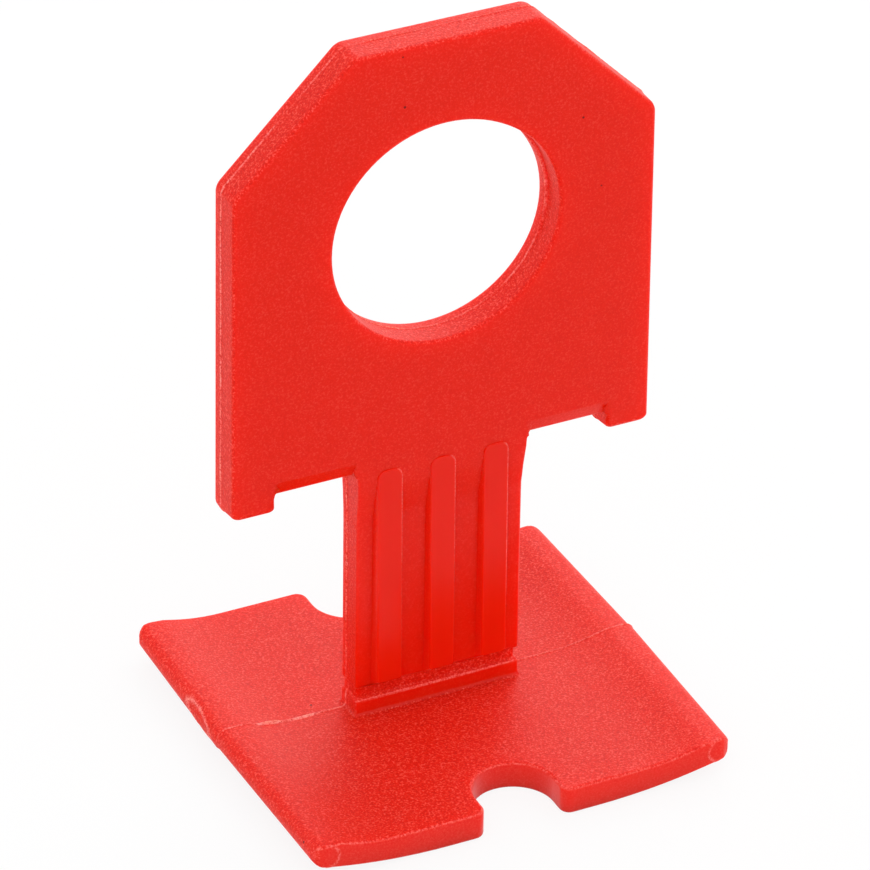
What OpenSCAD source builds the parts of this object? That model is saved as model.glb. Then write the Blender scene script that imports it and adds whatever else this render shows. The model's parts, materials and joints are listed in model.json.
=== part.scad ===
// Tile levelling clip: one injection-moulded piece.
// A bored head is carried by a ribbed neck on a square base. The neck snaps off the base at a groove
// once the tiles are set. Millimetres, +Z up, origin on the ground under the middle of the base.

/* [Base] */
// Width across the two curled ends, at the parting plane
base_w = 31.1; // [27:0.1:35]
// Depth from the front edge to the back edge
base_d = 28.6; // [24:0.2:35]
// Thickness of the flat middle
base_t = 2.05; // [1.5:0.05:2.5]
// Draft angle of the two ends, which lean in from the parting plane to the front and the back
base_draft = 1.05; // [0:0.05:2]
// Radius of the four corners, seen from above
base_corner_r = 0.9; // [0.2:0.1:1.5]
// Width of the flat strip that the underside rests on
under_flat_w = 10.8; // [6:0.2:16]
// Radius of the underside, where the ends curl up
under_curl_r = 44; // [36:1:60]
// Width of the flat strip on the top, before the ends curl up
top_flat_w = 18.2; // [14.6:0.2:22]
// Radius of the top, where the ends curl up
top_curl_r = 15; // [10:0.5:25]
// Radius of the rounded bead along each curled end
bead_r = 0.85; // [0.6:0.05:1]

/* [Base notches] */
// Width of the round notch in the front and the back edge
notch_w = 5.7; // [4:0.1:7]
// Depth of the notch, from the edge to its round end
notch_depth = 4.5; // [3.6:0.1:7]
// Radius of the two corners at the mouth of the notch
notch_mouth_r = 0.75; // [0.2:0.05:1]

/* [Head] */
// Width of the head across the feet of its tabs
head_w = 30.2; // [26:0.2:36]
// How far each side leans in from the foot up to the shoulder
head_taper = 0.15; // [0:0.05:0.5]
// Height from the feet of the tabs to the top edge
head_h = 32.6; // [29:0.1:38]
// Thickness of the head
head_t = 2.8; // [2.4:0.1:3.6]
// Height of the feet of the tabs above the base's flat top
tile_gap = 17.75; // [14:0.05:24]
// How far the head's mid plane lies behind the middle of the base
head_offset = 0.1; // [0:0.05:0.6]
// How far the mould's parting plane lies behind the head's mid plane
parting_offset = 0.45; // [0:0.05:0.7]
// Leg of the bevel that cuts each top corner
shoulder_cut = 8.35; // [5:0.05:10]
// Radius of the two corners of each bevel
shoulder_r = 1; // [0.2:0.1:3]
// Width of the tab at each lower corner
tab_w = 3.05; // [2:0.05:4.5]
// Depth of the recess between the tabs
recess_h = 1.35; // [0.8:0.05:2.5]
// Radius of the outer lower corners
head_corner_r = 0.3; // [0.2:0.05:1.2]
// Radius of the inner corner of each tab
tab_corner_r = 0.35; // [0.1:0.05:0.8]
// Rise of the feet from the parting plane to the front face
foot_rise_front = 0.35; // [0:0.05:0.6]
// Rise of the feet from the parting plane to the back face
foot_rise_back = 0.2; // [0:0.05:0.6]
// Height of the bevel along the recess's front edge
recess_bevel_h = 1; // [0.2:0.1:1.5]
// Depth of the bevel along the recess's front edge
recess_bevel_d = 0.5; // [0.2:0.05:0.9]

/* [Eye] */
// Diameter of the round eye through the head
eye_d = 16; // [12:0.1:18]
// Height of the top edge above the eye's centre
eye_drop = 14.15; // [12.5:0.05:16]
// Radius of the rounded rims of the eye
eye_rim_r = 0.2; // [0.1:0.05:0.4]

/* [Neck] */
// Width of the neck
neck_w = 11.85; // [10.5:0.05:14]
// Widening of the neck on each side, where it meets the head
flare_w = 0.15; // [0.05:0.05:1]
// Height of the stretch over which the neck widens
flare_h = 4.5; // [3:0.1:8]
// How far the neck's front lies behind the head's front
front_relief = 0.38; // [0.1:0.02:0.6]
// How far the neck's back lies before the head's back
back_relief = 0.35; // [0.1:0.05:0.6]
// Depth below the recess at which the neck's front starts to fall back
relief_start = 0.7; // [0.2:0.1:2]
// Height over which the neck's front falls back
relief_run = 3; // [1:0.1:5]
// Radius of the fillet between the neck's sides and the recess
neck_fillet_r = 0.25; // [0.1:0.05:1.2]

/* [Ribs] */
// Number of ribs on the neck's front
rib_count = 3; // [1:1:3]
// Distance from one rib to the next
rib_pitch = 3.85; // [2.6:0.05:4.3]
// Width of a rib
rib_w = 1.75; // [1.3:0.05:2.4]
// Radius of the two corners at the top of a rib
rib_corner_r = 0.6; // [0.2:0.05:0.8]
// How far a rib stands out of the head's front plane at its top
rib_proud_top = 0.13; // [0.05:0.01:0.3]
// How far a rib stands out of the head's front plane at the break groove
rib_proud_foot = 0.3; // [0.1:0.02:0.6]
// Height of the ribs' tops above the recess
rib_rise = 0.15; // [-1:0.05:0.8]

/* [Break groove] */
// Height of the stub that stays on the base
stub_h = 1.15; // [0.7:0.05:2]
// Height of the groove, from the stub to the neck's lower edge
groove_h = 0.85; // [0.5:0.05:1.5]
// Depth of the groove in the neck's front
groove_depth = 0.95; // [0.4:0.05:1.3]
// Rise of the groove's floor, from the front to its root
groove_floor_rise = 0.2; // [0:0.05:0.4]
// Depth of the nick in each side of the neck
nick_depth = 0.4; // [0.1:0.05:0.8]
// Radius of the fillet at the stub's foot
stub_fillet_r = 0.3; // [0.1:0.05:0.6]

/* [Hidden] */
$fn = 96;
clip_red = "#e0291f";
// Overlap that lets cuts run clear of the faces they open
over = 1;

// Right end of the base: centres of the underside's arc and of the bead, which runs into that arc
under_c = [under_flat_w / 2, under_curl_r];
bead_x = base_w / 2 - bead_r;
bead_c = [bead_x, under_curl_r - sqrt(pow(under_curl_r - bead_r, 2) - pow(bead_x - under_c.x, 2))];
bead_foot = under_c + (bead_c - under_c) * under_curl_r / (under_curl_r - bead_r);
base_top = max(base_t, bead_c.y + bead_r);

// Planes of the head and the neck, front to back
head_y = head_offset;
front_y = head_y - head_t / 2;
back_y = head_y + head_t / 2;
parting_y = head_y + parting_offset;
neck_front_y = front_y + front_relief;
neck_back_y = back_y - back_relief;

// Levels of the head and the neck, from the ground up
root_z = base_t / 2;
stub_z = base_t + stub_h;
neck_foot_z = stub_z + groove_h;
feet_z = base_t + tile_gap;
recess_z = feet_z + recess_h;
bevel_z = recess_z + recess_bevel_h;
top_z = feet_z + head_h;
eye_z = top_z - eye_drop;
relief_z = recess_z - relief_start;
rib_top_z = recess_z + rib_rise;

// Radius of the arc that widens the neck by flare_w over flare_h
flare_r = (pow(flare_h, 2) + pow(flare_w, 2)) / (2 * flare_w);

// Extrudes an outline drawn in X and Z from front to back
module through(y0, y1) {
    translate([0, y1, 0]) rotate([90, 0, 0]) linear_extrude(y1 - y0) children();
}

// Extrudes a section drawn in Y and Z across a width centred on the neck
module across(width) {
    translate([-width / 2, 0, 0]) rotate([90, 0, 90]) linear_extrude(width) children();
}

// Draws its children on both sides of the middle
module both_sides() {
    children();
    mirror([1, 0]) children();
}

// Region that takes the sharp tip off a corner at the origin. Its inside lies towards +X and +Y, one edge
// runs along X, and the other leans outwards by an angle from Y
module corner_tip(r, lean = 0) {
    center_x = r * (1 - sin(lean)) / cos(lean);
    difference() {
        translate([-over, -over]) square([over + center_x, over + r * (1 - sin(lean))]);
        translate([center_x, r]) circle(r);
    }
}

// Region bounded below by a flat strip that runs into an arc at each end
module cradle(flat_w, r, z) {
    both_sides() translate([flat_w / 2, z + r]) circle(r);
    translate([-flat_w / 2, z]) square([flat_w, 2 * r]);
}

// Section of the right half of the base in X and Z: flat in the middle, its end curled up into a bead
module end_section() {
    difference() {
        intersection() {
            polygon([[0, 0], [bead_foot.x, 0], bead_foot, bead_c, [bead_c.x, base_top], [0, base_top]]);
            cradle(under_flat_w, under_curl_r, 0);
        }
        cradle(top_flat_w, top_curl_r, base_t);
    }
    translate(bead_c) circle(bead_r);
}

// Round-ended notch in the front edge, seen from above
module notch_plan() {
    notch_r = notch_w / 2;
    end_y = -base_d / 2 + notch_depth - notch_r;
    translate([0, end_y]) circle(notch_r);
    translate([-notch_r, -base_d / 2 - over]) square([notch_w, end_y + base_d / 2 + over]);
    both_sides() translate([notch_r, -base_d / 2]) corner_tip(notch_mouth_r);
}

// Takes off the two corners of the edge that lies at a distance before the parting plane, seen from above
module edge_corners(len) {
    end_x = base_w / 2 / cos(base_draft) - len * tan(base_draft);
    both_sides() translate([-end_x, -len]) corner_tip(base_corner_r, base_draft);
}

// Outline of the base, seen from above
module base_plan() {
    difference() {
        square([base_w + over, base_d], center = true);
        translate([0, parting_y]) edge_corners(parting_y + base_d / 2);
        translate([0, parting_y]) mirror([0, 1]) edge_corners(base_d / 2 - parting_y);
        notch_plan();
        mirror([0, 1]) notch_plan();
    }
}

// Stretch of the base from the parting plane at the origin to the front, its ends leaning in by the draft
module base_stretch(len) {
    intersection() {
        for (side = [0, 1])
            mirror([side, 0, 0]) rotate([0, 0, -base_draft]) through(-len - over, over) end_section();
        translate([-base_w, -len, 0]) cube([2 * base_w, len, base_top]);
    }
}

module base_plate() {
    intersection() {
        translate([0, parting_y, 0]) {
            base_stretch(parting_y + base_d / 2);
            mirror([0, 1, 0]) base_stretch(base_d / 2 - parting_y);
        }
        translate([0, 0, -over]) linear_extrude(base_top + 2 * over) base_plan();
    }
}

// Outline of the head in X and Z, without the recess between its tabs
module head_outline() {
    foot_x = head_w / 2;
    side_x = foot_x - head_taper;
    shoulder_z = top_z - shoulder_cut;
    side_lean = atan(head_taper / (shoulder_z - feet_z));
    difference() {
        polygon([
            [-foot_x, feet_z], [foot_x, feet_z],
            [side_x, shoulder_z], [side_x - shoulder_cut, top_z],
            [shoulder_cut - side_x, top_z], [-side_x, shoulder_z],
        ]);
        both_sides() translate([-foot_x, feet_z]) corner_tip(head_corner_r, -side_lean);
        both_sides() translate([shoulder_cut - side_x, top_z]) mirror([0, 1]) corner_tip(shoulder_r, 45);
        both_sides() translate([-side_x, shoulder_z])
            rotate(-90 - side_lean) corner_tip(shoulder_r, 45 + side_lean);
    }
}

// Section of the head in Y and Z: the feet rise from the parting plane to both faces
module head_section() {
    polygon([
        [front_y, feet_z + foot_rise_front], [parting_y, feet_z], [back_y, feet_z + foot_rise_back],
        [back_y, top_z], [front_y, top_z],
    ]);
}

// Outline of the recess between the tabs, with the tabs' inner corners taken off
module recess_outline() {
    recess_x = head_w / 2 - tab_w;
    translate([-recess_x, feet_z - over]) square([2 * recess_x, recess_bevel_h + recess_h + 2 * over]);
    both_sides() translate([recess_x, feet_z]) corner_tip(tab_corner_r);
}

// Section of the recess in Y and Z: a level roof with a steep bevel along its front edge
module recess_section() {
    bevel_slope = recess_bevel_h / recess_bevel_d;
    polygon([
        [front_y - over, feet_z - over], [back_y + over, feet_z - over],
        [back_y + over, recess_z], [front_y + recess_bevel_d, recess_z],
        [front_y, bevel_z], [front_y - over, bevel_z + bevel_slope * over],
    ]);
}

module recess() {
    intersection() {
        through(front_y - over, back_y + over) recess_outline();
        across(head_w) recess_section();
    }
}

// Round eye through the head, its two rims rounded over
module eye() {
    translate([0, front_y, eye_z]) rotate([-90, 0, 0]) {
        translate([0, 0, -over]) cylinder(d = eye_d, h = head_t + 2 * over);
        eye_rim();
        translate([0, 0, head_t]) mirror([0, 0, 1]) eye_rim();
    }
}

// Ring that rounds one rim of the eye
module eye_rim() {
    rotate_extrude() {
        difference() {
            translate([eye_d / 2 - eye_rim_r, -over]) square([2 * eye_rim_r, over + eye_rim_r]);
            translate([eye_d / 2 + eye_rim_r, eye_rim_r]) circle(eye_rim_r);
        }
    }
}

module head() {
    difference() {
        intersection() {
            through(front_y, back_y) head_outline();
            across(head_w) head_section();
        }
        recess();
        eye();
    }
}

// Outline of the neck in X and Z: it widens towards the head and has a fillet under the recess
module neck_outline() {
    neck_x = neck_w / 2;
    wide_x = neck_x + flare_w;
    translate([-neck_x, root_z]) square([neck_w, bevel_z - root_z]);
    both_sides() difference() {
        translate([neck_x - over, recess_z - flare_h]) square([flare_w + over, flare_h + recess_bevel_h]);
        translate([neck_x + flare_r, recess_z - flare_h]) circle(flare_r, $fn = 360);
    }
    both_sides() difference() {
        translate([wide_x - over, recess_z - neck_fillet_r]) square([neck_fillet_r + over, neck_fillet_r]);
        translate([wide_x + neck_fillet_r, recess_z - neck_fillet_r]) circle(neck_fillet_r);
    }
}

// Section of the neck in Y and Z: its front falls back from the head's front, its back is set in
module neck_section() {
    polygon([
        [neck_front_y, root_z], [neck_back_y, root_z], [neck_back_y, recess_z],
        [back_y, recess_z + back_relief], [back_y, bevel_z], [front_y, bevel_z], [front_y, relief_z],
        [neck_front_y, relief_z - relief_run],
    ]);
}

// Outline of one rib in X and Z, with a round-cornered top
module rib_outline() {
    shoulder_z = rib_top_z - rib_corner_r;
    half_x = rib_w / 2 - rib_corner_r;
    translate([-rib_w / 2, stub_z]) square([rib_w, shoulder_z - stub_z]);
    translate([-half_x, stub_z]) square([2 * half_x, rib_top_z - stub_z]);
    both_sides() translate([half_x, shoulder_z]) circle(rib_corner_r);
}

// Section of the ribs in Y and Z: their front leans out towards the break groove
module rib_section() {
    root_y = (neck_front_y + neck_back_y) / 2;
    polygon([
        [front_y - rib_proud_foot, stub_z], [root_y, stub_z],
        [root_y, rib_top_z], [front_y - rib_proud_top, rib_top_z],
    ]);
}

module ribs() {
    intersection() {
        through(front_y - over, back_y)
            for (i = [0 : rib_count - 1])
                translate([(i - (rib_count - 1) / 2) * rib_pitch, 0]) rib_outline();
        across(neck_w) rib_section();
    }
}

// Cut that frees the neck's lower edge: a groove across the front and a nick in each side
module break_groove() {
    bottom_z = stub_z + groove_floor_rise;
    lip_slope = (neck_foot_z - bottom_z) / groove_depth;
    reach = front_relief + rib_proud_foot + over;
    across(neck_w + over) polygon([
        [neck_front_y - reach, stub_z], [neck_front_y, stub_z],
        [neck_front_y + groove_depth, bottom_z],
        [neck_front_y - reach, neck_foot_z + lip_slope * reach],
    ]);
    through(neck_front_y - over, neck_back_y + over) both_sides() polygon([
        [neck_w / 2 - nick_depth, bottom_z], [neck_w / 2 + over, stub_z - over * groove_floor_rise],
        [neck_w / 2 + over, neck_foot_z + over * lip_slope],
    ]);
}

// Fillet between the stub's front and back and the base
module stub_fillets() {
    across(neck_w) difference() {
        translate([neck_front_y - stub_fillet_r, root_z])
            square([neck_back_y - neck_front_y + 2 * stub_fillet_r, base_t - root_z + stub_fillet_r]);
        for (y = [neck_front_y - stub_fillet_r, neck_back_y + stub_fillet_r])
            translate([y, base_t + stub_fillet_r]) circle(stub_fillet_r);
    }
}

module neck() {
    difference() {
        union() {
            intersection() {
                through(front_y - over, back_y + over) neck_outline();
                across(head_w) neck_section();
            }
            ribs();
        }
        break_groove();
    }
    stub_fillets();
}

module clip() {
    color(clip_red) union() {
        base_plate();
        neck();
        head();
    }
}

clip();
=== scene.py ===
"""Tile levelling clip: its moulded skin in red plastic, in a white studio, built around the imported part."""

import json
import logging
import math
from collections.abc import Callable, Iterable
from dataclasses import dataclass
from enum import Enum

import bmesh
import bpy
from bmesh.types import BMEdge, BMesh, BMFace, BMLayerItem, BMVert
from bpy.types import Material, Node, NodeSocket, NodeTree, Object, Scene, World
from mathutils import Matrix, Vector, noise


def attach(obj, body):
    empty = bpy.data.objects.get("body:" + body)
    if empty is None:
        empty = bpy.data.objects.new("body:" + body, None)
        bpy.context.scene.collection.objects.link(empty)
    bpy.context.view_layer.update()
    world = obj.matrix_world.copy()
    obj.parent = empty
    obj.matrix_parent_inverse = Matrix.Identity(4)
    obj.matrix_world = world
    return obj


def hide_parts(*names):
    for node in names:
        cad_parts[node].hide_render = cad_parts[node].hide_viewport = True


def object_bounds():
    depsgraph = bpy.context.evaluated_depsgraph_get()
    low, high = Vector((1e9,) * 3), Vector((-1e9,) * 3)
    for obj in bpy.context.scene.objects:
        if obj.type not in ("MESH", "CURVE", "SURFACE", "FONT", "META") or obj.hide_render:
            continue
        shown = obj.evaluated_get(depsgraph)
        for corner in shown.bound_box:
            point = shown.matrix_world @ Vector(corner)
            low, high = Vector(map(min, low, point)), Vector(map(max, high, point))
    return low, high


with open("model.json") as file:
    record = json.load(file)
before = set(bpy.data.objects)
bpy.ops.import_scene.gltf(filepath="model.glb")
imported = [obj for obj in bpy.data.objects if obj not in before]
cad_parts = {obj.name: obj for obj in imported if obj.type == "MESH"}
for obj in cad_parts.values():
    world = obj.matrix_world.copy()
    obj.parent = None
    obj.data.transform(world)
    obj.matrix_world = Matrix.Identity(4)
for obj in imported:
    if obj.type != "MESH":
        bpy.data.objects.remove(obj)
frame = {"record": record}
cad_low, cad_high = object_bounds()

# The meshes are modelled in millimetres and brought to metres at the end
MM = 0.001
# Distance within which two places count as the same, in millimetres
NEAR = 0.002
# Angle below which two faces count as one flat face
FLAT = math.radians(0.2)
# Depth of the plane where the two halves of the mould meet, in millimetres
PARTING_Y = 0.55

log = logging.getLogger("clip")


class Axis(Enum):
    """Direction that a cutting plane faces."""

    X = 0
    Y = 1
    Z = 2


class Surface(Enum):
    """How the mould left a face; the value is the strength of its grain."""

    COARSE = 1.0
    FINE = 0.32
    WORN = 0.14
    POLISHED = 0.0


def linear_rgb(hex_code: str) -> tuple[float, float, float, float]:
    """Turns an sRGB hex colour into linear RGBA.

    Args:
        hex_code: Colour such as "#e0291f".

    Returns:
        Linear red, green, blue and an alpha of 1.
    """
    shares = [int(hex_code[i:i + 2], 16) / 255 for i in (1, 3, 5)]
    linear = [s / 12.92 if s <= 0.04045 else ((s + 0.055) / 1.055) ** 2.4 for s in shares]
    return (*linear, 1.0)


def bare_tree(owner: Material | World) -> NodeTree:
    """Gives a material or the world an empty node tree.

    Args:
        owner: Material or world that takes the tree.

    Returns:
        The empty tree.
    """
    owner.use_nodes = True
    owner.node_tree.nodes.clear()
    return owner.node_tree


def add_node(tree: NodeTree, kind: str, links: dict | None = None, **settings: object) -> Node:
    """Adds a node with its settings, its socket values and its links.

    Args:
        tree: Node tree that takes the node.
        kind: Blender's name of the node type.
        links: Socket name or number to a value, or to the output socket that feeds it.
        settings: Properties of the node itself.

    Returns:
        The new node.
    """
    node = tree.nodes.new(kind)
    for name, value in settings.items():
        setattr(node, name, value)
    for socket, value in (links or {}).items():
        if isinstance(value, NodeSocket):
            tree.links.new(value, node.inputs[socket])
        else:
            node.inputs[socket].default_value = value
    return node


def cut(bm: BMesh, axis: Axis, at: float, faces: Iterable[BMFace] | None = None) -> None:
    """Cuts a mesh, or only some of its faces, by a plane across one axis.

    Args:
        bm: Mesh to cut.
        axis: Direction that the plane faces.
        at: Place of the plane along that axis.
        faces: Faces to cut, or None for all of them.
    """
    chosen = bm.faces[:] if faces is None else list(faces)
    geometry = dict.fromkeys(part for f in chosen for part in (f, *f.edges, *f.verts))
    normal = Vector((0, 0, 0))
    normal[axis.value] = 1
    bmesh.ops.bisect_plane(bm, geom=list(geometry), dist=NEAR / 10, plane_co=normal * at, plane_no=normal)


def round_edges(bm: BMesh, edges: list[BMEdge], reach: float, segments: int) -> None:
    """Rounds edges over by an arc.

    Args:
        bm: Mesh that holds the edges.
        edges: Edges to round.
        reach: Distance from the old edge to where the arc starts.
        segments: Number of facets in the arc.
    """
    bmesh.ops.bevel(
        bm, geom=edges, offset=reach, offset_type="OFFSET", segments=segments, profile=0.5,
        affect="EDGES", material=-1, clamp_overlap=True,
    )


def extrude(bm: BMesh, faces: list[BMFace], step: Vector) -> list[BMVert]:
    """Extrudes faces and moves the new ones.

    Args:
        bm: Mesh that holds the faces.
        faces: Faces to extrude.
        step: How far the new faces move.

    Returns:
        The vertices of the new faces.
    """
    made = bmesh.ops.extrude_face_region(bm, geom=faces)["geom"]
    verts = [part for part in made if isinstance(part, BMVert)]
    bmesh.ops.translate(bm, verts=verts, vec=step)
    return verts


def mirror_half(bm: BMesh) -> None:
    """Opens a right half at the middle plane, mirrors it and closes the seam.

    Args:
        bm: Closed right half, made whole here.
    """
    middle = [f for f in bm.faces if all(abs(v.co.x) < NEAR for v in f.verts)]
    bmesh.ops.delete(bm, geom=middle, context="FACES")
    everything = bm.verts[:] + bm.edges[:] + bm.faces[:]
    bmesh.ops.mirror(bm, geom=everything, matrix=Matrix(), merge_dist=NEAR, axis="X")
    bmesh.ops.recalc_face_normals(bm, faces=bm.faces[:])


def merge_flats(bm: BMesh) -> None:
    """Turns all faces outwards and joins the facets of each flat face again, apart from the middle line.

    Args:
        bm: Mesh to simplify.
    """
    bmesh.ops.recalc_face_normals(bm, faces=bm.faces[:])
    bm.normal_update()
    for edge in bm.edges:
        edge.seam = all(abs(v.co.x) < NEAR for v in edge.verts)
    bmesh.ops.dissolve_limit(bm, angle_limit=FLAT, verts=bm.verts[:], edges=bm.edges[:], delimit={"SEAM"})


def working_object(name: str, bm: BMesh) -> Object:
    """Puts a mesh under construction into an object of its own.

    Args:
        name: Name of the object and its mesh.
        bm: Mesh to put there, freed here.

    Returns:
        The object.
    """
    mesh = bpy.data.meshes.new(name)
    bm.to_mesh(mesh)
    bm.free()
    obj = bpy.data.objects.new(name, mesh)
    bpy.context.scene.collection.objects.link(obj)
    return obj


def taken_back(obj: Object, *helpers: Object) -> BMesh:
    """Applies an object's modifiers, takes its mesh back and removes the object.

    Args:
        obj: Working object with modifiers.
        helpers: Other working objects that the modifiers read, removed as well.

    Returns:
        The finished mesh.
    """
    bm = bmesh.new()
    bm.from_object(obj, bpy.context.evaluated_depsgraph_get())
    for used in (obj, *helpers):
        mesh = used.data
        bpy.data.objects.remove(used)
        bpy.data.meshes.remove(mesh)
    return bm


def ramp(value: float, start: float, end: float) -> float:
    """Share of the way from start to end, from 0 to 1."""
    return min(1.0, max(0.0, (value - start) / (end - start)))


def even_steps(start: float, end: float, count: int) -> list[float]:
    """Places from start to end in even steps, with both ends."""
    return [start + (end - start) * i / count for i in range(count + 1)]


@dataclass
class HeadAndNeck:
    """Bored head on its ribbed neck: one upright plate, down to its root inside the base. Millimetres."""

    top_z: float
    eye_z: float
    eye_r: float
    base_t: float
    parting_y: float = PARTING_Y
    front_y: float = -1.3
    back_y: float = 1.5
    head_w: float = 30.2
    head_taper: float = 0.15
    feet_z: float = 19.8
    shoulder_cut: float = 8.35
    shoulder_turn: float = math.radians(45)
    shoulder_r: float = 1.0
    tab_w: float = 3.05
    recess_h: float = 1.35
    foot_corner_r: float = 0.65
    tab_corner_r: float = 0.45
    foot_rise_front: float = 0.35
    foot_rise_back: float = 0.2
    foot_rise_reach: float = 1.0
    recess_bevel_h: float = 1.0
    recess_bevel_d: float = 0.5
    bevel_run_neck: float = 0.08
    bevel_run_tab: float = 0.12
    neck_w: float = 12.05
    flare_w: float = 0.15
    flare_h: float = 4.5
    neck_fillet_r: float = 0.12
    front_relief: float = 0.38
    back_relief: float = 0.35
    back_ledge_h: float = 0.04
    relief_start: float = 0.7
    relief_run: float = 3.0
    rib_count: int = 3
    rib_pitch: float = 3.85
    rib_w: float = 1.75
    rib_corner_r: float = 0.6
    rib_proud_top: float = 0.13
    rib_proud_foot: float = 0.3
    rib_rise: float = 0.15
    rib_draft: float = 0.32
    stub_h: float = 1.15
    groove_h: float = 1.1
    groove_depth: float = 0.28
    groove_lip_drop: float = 0.2
    ledge_rise: float = 0.2
    nick_depth: float = 0.18
    stub_fillet_r: float = 0.3
    head_edge_r: float = 0.3
    neck_edge_r: float = 0.22
    rib_edge_r: float = 0.1
    lip_edge_r: float = 0.14
    groove_edge_r: float = 0.13
    armpit_edge_r: float = 0.06
    # Edges that turn by less than this stay as they are
    rounded_from: float = math.radians(28)
    eye_steps: int = 48
    fillet_steps: int = 4
    corner_steps: int = 5
    edge_steps: int = 3

    def __post_init__(self) -> None:
        """Works out the levels and planes that several features share."""
        self.recess_z = self.feet_z + self.recess_h
        self.bevel_z = self.recess_z + self.recess_bevel_h
        self.relief_z = self.recess_z - self.relief_start
        self.rib_top_z = self.recess_z + self.rib_rise
        self.stub_z = self.base_t + self.stub_h
        self.root_z = self.base_t / 2
        self.groove_z = self.stub_z + self.ledge_rise
        self.lip_z = self.stub_z + self.groove_h
        self.groove_top_z = self.lip_z - self.groove_lip_drop
        self.lip_slope = self.groove_lip_drop / self.groove_depth
        self.neck_x = self.neck_w / 2
        self.armpit_x = self.neck_x + self.flare_w + self.neck_fillet_r
        self.recess_x = self.head_w / 2 - self.tab_w
        self.neck_front_y = self.front_y + self.front_relief
        self.neck_back_y = self.back_y - self.back_relief
        self.fillet_angles = [math.radians(a) for a in even_steps(0, 90, self.fillet_steps)]

    def build(self) -> BMesh:
        """Models the plate.

        Returns:
            A closed mesh in millimetres with all its edges rounded.
        """
        bm = bmesh.new()
        self.draw_half(bm)
        mirror_half(bm)
        cut(bm, Axis.Y, self.parting_y)
        cut(bm, Axis.Z, self.recess_z + self.back_ledge_h, self.neck_back(bm))
        self.set_faces_back(bm)
        self.raise_ribs(bm)
        merge_flats(bm)
        self.round_rib_tops(bm)
        return self.rounded(bm)

    def side_at(self, z: float) -> float:
        """Half width of the head at a level, between the feet and the shoulders."""
        return self.head_w / 2 - self.head_taper * ramp(z, self.feet_z, self.top_z - self.shoulder_cut)

    def neck_side_at(self, z: float) -> float:
        """Finds the neck's half width: it widens towards the head and is nicked at the groove.

        Args:
            z: Level on the neck.

        Returns:
            Half width at that level.
        """
        if self.groove_z - NEAR < z < self.groove_top_z + NEAR:
            return self.neck_x - self.nick_depth
        flare = self.flare_w * ramp(z, self.recess_z - self.flare_h, self.recess_z) ** 2
        r = self.neck_fillet_r
        rise = min(r, max(0.0, z - self.recess_z + r))
        return self.neck_x + flare + r - math.sqrt(r ** 2 - rise ** 2) + self.fillet_at(z)

    def head_levels(self) -> list[float]:
        """Levels, from the top down, that the neck, the recess and the tabs share."""
        return [self.rib_top_z, self.recess_z]

    def neck_levels(self) -> list[float]:
        """Lists where the neck's front, back or sides change direction.

        Returns:
            Levels from the top down.
        """
        fillet = [self.base_t + self.stub_fillet_r * (1 - math.cos(a)) for a in self.fillet_angles]
        armpit = [self.recess_z - self.neck_fillet_r * (1 - math.sin(a)) for a in self.fillet_angles[:-1:2]]
        return [
            *self.head_levels(),
            *reversed(armpit),
            self.relief_z,
            self.recess_z - self.flare_h / 2,
            self.relief_z - self.relief_run,
            self.recess_z - self.flare_h,
            self.lip_z,
            self.groove_top_z + self.nick_depth * self.lip_slope,
            self.groove_top_z,
            self.groove_z,
            self.groove_z - self.ledge_rise / 2,
            self.stub_z,
            *reversed(fillet),
            self.root_z,
        ]

    def rib_sides(self) -> list[float]:
        """Places of both sides of each rib across the neck, from left to right."""
        half = self.rib_w / 2
        return [x for middle in self.rib_middles() for x in (middle - half, middle + half)]

    def columns(self) -> list[float]:
        """Lists where the lower part of the head changes across its right half.

        Returns:
            Places from the middle out.
        """
        return [
            0.0, *(x for x in self.rib_sides() if x > NEAR),
            self.armpit_x, self.armpit_x + self.bevel_run_neck,
            self.recess_x - self.bevel_run_tab, self.recess_x,
            self.side_at(self.bevel_z),
        ]

    def draw_half(self, bm: BMesh) -> None:
        """Draws the right half of the front round half of the eye, and extrudes it to the back.

        Args:
            bm: Empty mesh that takes the half.
        """
        foot = bm.verts.new((0, self.front_y, self.eye_z - self.eye_r))
        bmesh.ops.spin(
            bm, geom=[foot], cent=(0, self.front_y, self.eye_z), axis=(0, -1, 0),
            angle=math.pi, steps=self.eye_steps, use_duplicate=False,
        )
        eye = sorted(bm.verts, key=lambda v: v.co.z)
        side_x = self.head_w / 2 - self.head_taper
        shoulder = (side_x, self.top_z - self.shoulder_cut)
        crown = (side_x - self.shoulder_cut, self.top_z)
        outline = [(0, self.top_z), crown, shoulder, *((x, self.bevel_z) for x in reversed(self.columns()))]
        bm.faces.new(eye + [bm.verts.new((x, self.front_y, z)) for x, z in outline])
        self.draw_down(bm, 0, self.armpit_x, self.neck_levels(), self.neck_side_at)
        self.draw_down(bm, self.armpit_x, self.recess_x, self.head_levels(), lambda z: self.recess_x)
        self.draw_down(bm, self.recess_x, self.head_w, [*self.head_levels(), self.feet_z], self.side_at)
        bmesh.ops.remove_doubles(bm, verts=bm.verts[:], dist=NEAR)
        extrude(bm, bm.faces[:], Vector((0, self.back_y - self.front_y, 0)))
        blunt = math.tan(self.shoulder_turn / 2)
        rounding = [
            (crown, self.shoulder_r * blunt),
            (shoulder, self.shoulder_r * blunt),
            ((self.head_w / 2, self.feet_z), self.foot_corner_r),
            ((self.recess_x, self.feet_z), self.tab_corner_r),
        ]
        for (x, z), reach in rounding:
            upright = [
                e for e in bm.edges
                if all(math.hypot(v.co.x - x, v.co.z - z) < NEAR for v in e.verts)
            ]
            round_edges(bm, upright, reach, self.corner_steps)

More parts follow.
